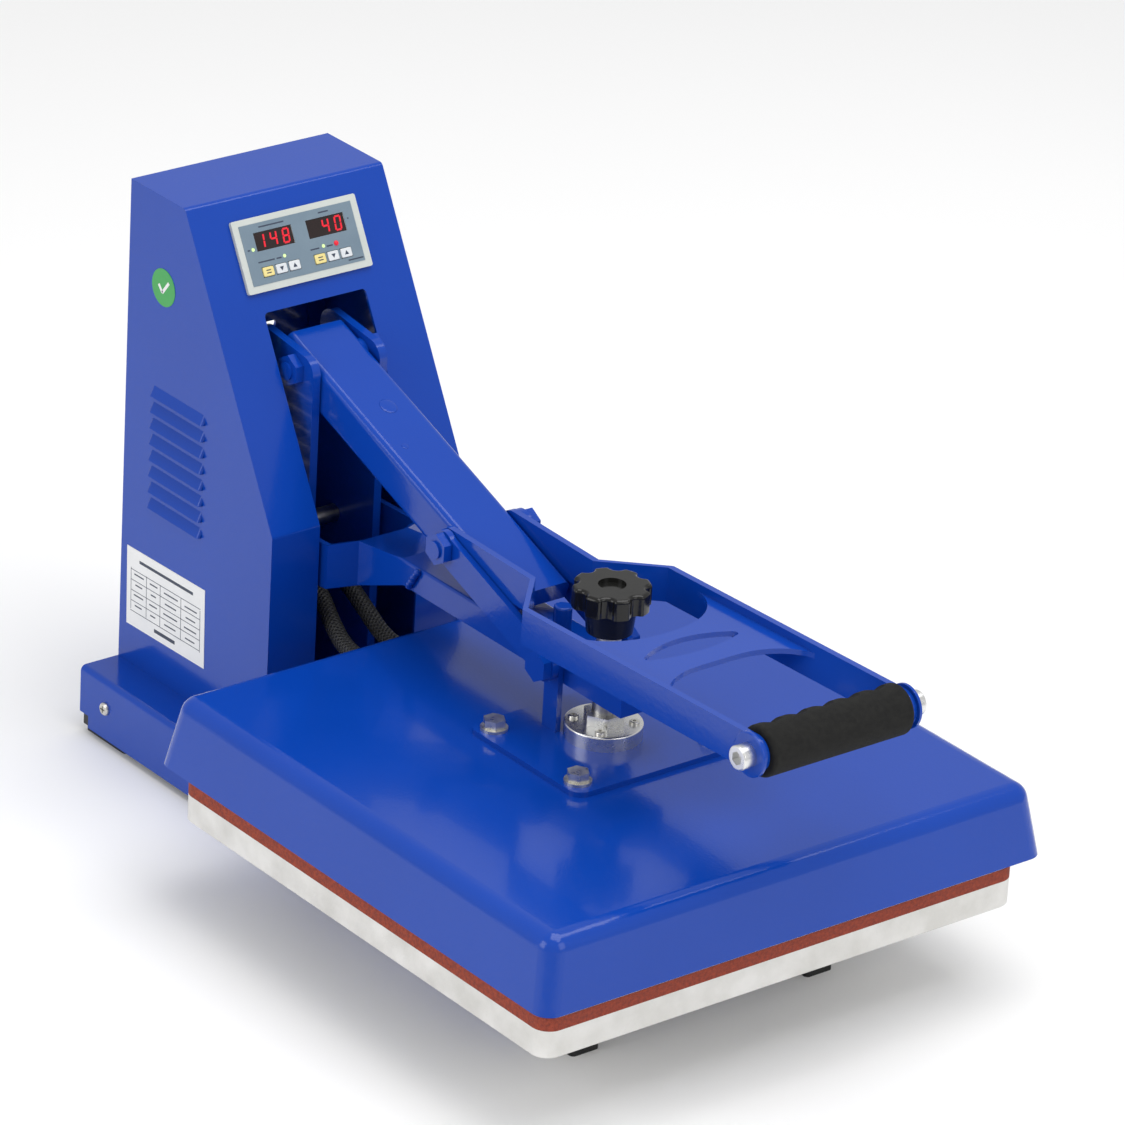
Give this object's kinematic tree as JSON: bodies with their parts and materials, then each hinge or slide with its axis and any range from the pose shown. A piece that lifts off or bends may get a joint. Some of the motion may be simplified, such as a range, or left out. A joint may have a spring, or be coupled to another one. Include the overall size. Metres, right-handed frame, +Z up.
{
  "type": "heat press",
  "caption": "Clamshell heat press with square platens, slanted control tower, over-centre toggle lever with foam grip and knob for the pressing force.",
  "frame": {"origin": "middle of the footprint on the bench, under the feet", "axes": "+Z up, +Y towards the tower, +X to the operator's right; the operator stands at -Y"},
  "size_m": [0.4016, 0.6485, 0.395],
  "materials": {
    "blue_powder_coat": "glossy powder coat",
    "black_paint": "satin paint",
    "machined_aluminium": "cast and machined",
    "silicone_sponge": "fine open texture",
    "black_rubber": "matt",
    "plated_steel": "zinc plated",
    "bright_steel": "polished",
    "steel": "turned",
    "white_plastic": "satin",
    "grey_plastic": "satin",
    "display_red": "tinted window",
    "led_lens": "clear lens",
    "board_green": "solder mask",
    "black_plastic": "moulded",
    "gloss_black": "polished phenolic",
    "foam": "closed-cell foam",
    "ceramic_wool": "fibrous",
    "sleeve": "braided sleeve",
    "earth_sleeve": "green and yellow",
    "yellow_plastic": "satin",
    "bronze": "sintered"
  },
  "bodies": {
    "frame": {"arm_pivot_bolt": "steel", "back_panel_screws": "plated_steel", "base_bolts": "plated_steel", "base_deck": "blue_powder_coat", "base_rails": "black_paint", "base_screws": "plated_steel", "beam_pivot_bolt": "blue_powder_coat", "control_panel": "white_plastic", "controller_board": "board_green", "display_windows": "display_red", "earth_wire": "earth_sleeve", "foot_pads": "black_rubber", "fuse_holder": "black_plastic", "heater_cables": "sleeve", "indicator_leds": "led_lens", "lower_platen": "machined_aluminium", "platen_crossbars": "black_paint", "power_inlet": "black_plastic", "power_relay": "black_plastic", "silicone_pad": "silicone_sponge", "switch_frame": "black_plastic", "tower_back_panel": "blue_powder_coat", "tower_shell": "blue_powder_coat", "upright_left": "blue_powder_coat", "upright_right": "blue_powder_coat"},
    "arm": {"heater_arm": "blue_powder_coat", "arm_legs": "blue_powder_coat", "arm_bushes": "bronze", "pressure_nut": "steel", "stop_stud": "blue_powder_coat"},
    "heater": {"heater_cover": "blue_powder_coat", "heating_platen": "machined_aluminium", "insulation_blanket": "ceramic_wool", "heater_standoffs": "steel", "mount_plate": "blue_powder_coat", "mount_bolts": "plated_steel", "swivel_flange": "bright_steel", "flange_screws": "steel", "cable_glands": "black_plastic"},
    "screw": {"pressure_screw": "steel", "pressure_knob": "gloss_black"},
    "lever": {"toggle_beam": "blue_powder_coat", "handle_rail_left": "blue_powder_coat", "handle_rail_right": "blue_powder_coat", "handle_cross_plate": "blue_powder_coat", "grip_tube": "steel", "foam_grip": "foam", "grip_end_caps": "blue_powder_coat", "grip_end_bolts": "bright_steel", "toggle_pivot_bolt": "blue_powder_coat"},
    "links": {"link_left": "blue_powder_coat", "link_right": "blue_powder_coat", "link_pivot_bolts": "blue_powder_coat"},
    "rocker": {"power_switch": "gloss_black"},
    "temperature_set_key": {"temperature_set_button": "yellow_plastic"},
    "temperature_down_key": {"temperature_down_button": "grey_plastic"},
    "temperature_up_key": {"temperature_up_button": "grey_plastic"},
    "time_set_key": {"time_set_button": "yellow_plastic"},
    "time_down_key": {"time_down_button": "grey_plastic"},
    "time_up_key": {"time_up_button": "grey_plastic"}
  },
  "joints": [
    {"name": "lever_hinge", "type": "hinge", "parent": "frame", "child": "lever", "pos_m": [0, 0.20425, 0.293], "axis": [-1, 0, 0], "range_deg": [0, 77.3]},
    {"name": "arm_hinge", "type": "hinge", "parent": "frame", "child": "arm", "pos_m": [0, 0.22625, 0.168], "axis": [-1, 0, 0], "range_deg": [0, 40.01], "deforming": ["heater_cables"]},
    {"name": "link_hinge", "type": "hinge", "parent": "lever", "child": "links", "pos_m": [0, 0.03583, 0.23237], "axis": [1, 0, 0], "range_deg": [0, 92.71]},
    {"name": "heater_slide", "type": "slide", "parent": "arm", "child": "heater", "axis": [0, 0, 1], "range_m": [0, 0.006]},
    {"name": "pressure_screw_turn", "type": "hinge", "parent": "heater", "child": "screw", "pos_m": [0, -0.09575, 0.238], "axis": [0, 0, 1], "range_deg": [0, 1080.2]},
    {"name": "power_switch_rock", "type": "hinge", "parent": "frame", "child": "rocker", "pos_m": [0.033, 0.31625, 0.096], "axis": [-1, 0, 0], "range_deg": [0, 12]},
    {"name": "temperature_set_press", "type": "slide", "parent": "frame", "child": "temperature_set_key", "axis": [0, 0.8727, -0.4883], "range_m": [0, 0.0006], "stiffness_N_per_m": 150, "springref_m": -0.0005},
    {"name": "temperature_down_press", "type": "slide", "parent": "frame", "child": "temperature_down_key", "axis": [0, 0.8727, -0.4883], "range_m": [0, 0.0006], "stiffness_N_per_m": 150, "springref_m": -0.0005},
    {"name": "temperature_up_press", "type": "slide", "parent": "frame", "child": "temperature_up_key", "axis": [0, 0.8727, -0.4883], "range_m": [0, 0.0006], "stiffness_N_per_m": 150, "springref_m": -0.0005},
    {"name": "time_set_press", "type": "slide", "parent": "frame", "child": "time_set_key", "axis": [0, 0.8727, -0.4883], "range_m": [0, 0.0006], "stiffness_N_per_m": 150, "springref_m": -0.0005},
    {"name": "time_down_press", "type": "slide", "parent": "frame", "child": "time_down_key", "axis": [0, 0.8727, -0.4883], "range_m": [0, 0.0006], "stiffness_N_per_m": 150, "springref_m": -0.0005},
    {"name": "time_up_press", "type": "slide", "parent": "frame", "child": "time_up_key", "axis": [0, 0.8727, -0.4883], "range_m": [0, 0.0006], "stiffness_N_per_m": 150, "springref_m": -0.0005}
  ],
  "couplings": [
    {"joint": "arm_hinge", "follows": "lever_hinge", "ratio": 0.51746},
    {"joint": "link_hinge", "follows": "lever_hinge", "ratio": 1.1992},
    {"joint": "pressure_screw_turn", "follows": "heater_slide", "rad_per_m": 3141.6}
  ]
}
